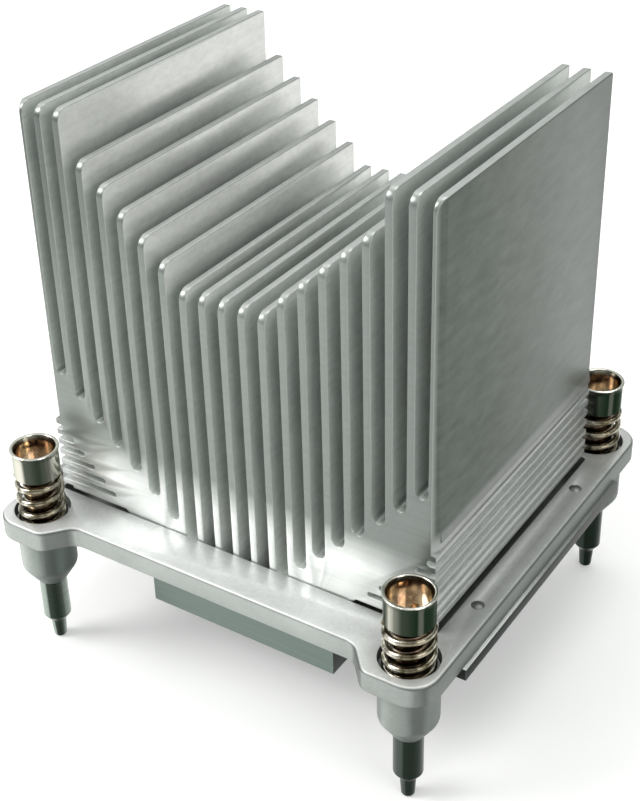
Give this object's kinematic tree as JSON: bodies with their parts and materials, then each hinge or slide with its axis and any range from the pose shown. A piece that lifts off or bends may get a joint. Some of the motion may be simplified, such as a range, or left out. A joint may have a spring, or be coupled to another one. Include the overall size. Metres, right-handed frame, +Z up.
{
  "type": "processor heatsink",
  "caption": "Passive aluminium processor heatsink: upright fins stepped in a V on a solid base, in a cast frame with captive spring screws at its corners.",
  "frame": {"origin": "centre of the heatsink in plan, level with the tips of the four screws it stands on", "axes": "+X across the fins, +Y along the fins, away from the end with rounded corners, +Z up, from the contact face towards the fins' tips"},
  "size_m": [0.0956, 0.0892, 0.1107],
  "materials": {
    "extruded_aluminium": "satin mill finish",
    "cast_aluminium": "fine blasted casting",
    "bar_steel": "dark plated steel",
    "rivet_metal": "bright plated",
    "screw_nickel": "polished nickel plate",
    "stud_steel": "dark polished plate",
    "spring_wire": "nickel plated wire"
  },
  "bodies": {
    "heatsink": {"fin_extrusion": "extruded_aluminium", "retention_frame": "cast_aluminium", "clamp_bar_left": "bar_steel", "clamp_bar_right": "bar_steel", "bar_rivet_front_left": "rivet_metal", "bar_rivet_front_right": "rivet_metal", "bar_rivet_back_left": "rivet_metal", "bar_rivet_back_right": "rivet_metal", "screw_spring_front_left": "spring_wire", "screw_spring_front_right": "spring_wire", "screw_spring_back_left": "spring_wire", "screw_spring_back_right": "spring_wire"},
    "screw_front_left": {"captive_screw_front_left": "screw_nickel", "screw_stud_front_left": "stud_steel"},
    "screw_front_right": {"captive_screw_front_right": "screw_nickel", "screw_stud_front_right": "stud_steel"},
    "screw_back_left": {"captive_screw_back_left": "screw_nickel", "screw_stud_back_left": "stud_steel"},
    "screw_back_right": {"captive_screw_back_right": "screw_nickel", "screw_stud_back_right": "stud_steel"}
  },
  "joints": [
    {"name": "screw_front_left_push", "type": "slide", "parent": "heatsink", "child": "screw_front_left", "axis": [0, 0, -1], "range_m": [0, 0.004], "stiffness_N_per_m": 3000, "springref_m": -0.004, "deforming": ["screw_spring_front_left"]},
    {"name": "screw_front_right_push", "type": "slide", "parent": "heatsink", "child": "screw_front_right", "axis": [0, 0, -1], "range_m": [0, 0.004], "stiffness_N_per_m": 3000, "springref_m": -0.004, "deforming": ["screw_spring_front_right"]},
    {"name": "screw_back_left_push", "type": "slide", "parent": "heatsink", "child": "screw_back_left", "axis": [0, 0, -1], "range_m": [0, 0.004], "stiffness_N_per_m": 3000, "springref_m": -0.004, "deforming": ["screw_spring_back_left"]},
    {"name": "screw_back_right_push", "type": "slide", "parent": "heatsink", "child": "screw_back_right", "axis": [0, 0, -1], "range_m": [0, 0.004], "stiffness_N_per_m": 3000, "springref_m": -0.004, "deforming": ["screw_spring_back_right"]}
  ]
}
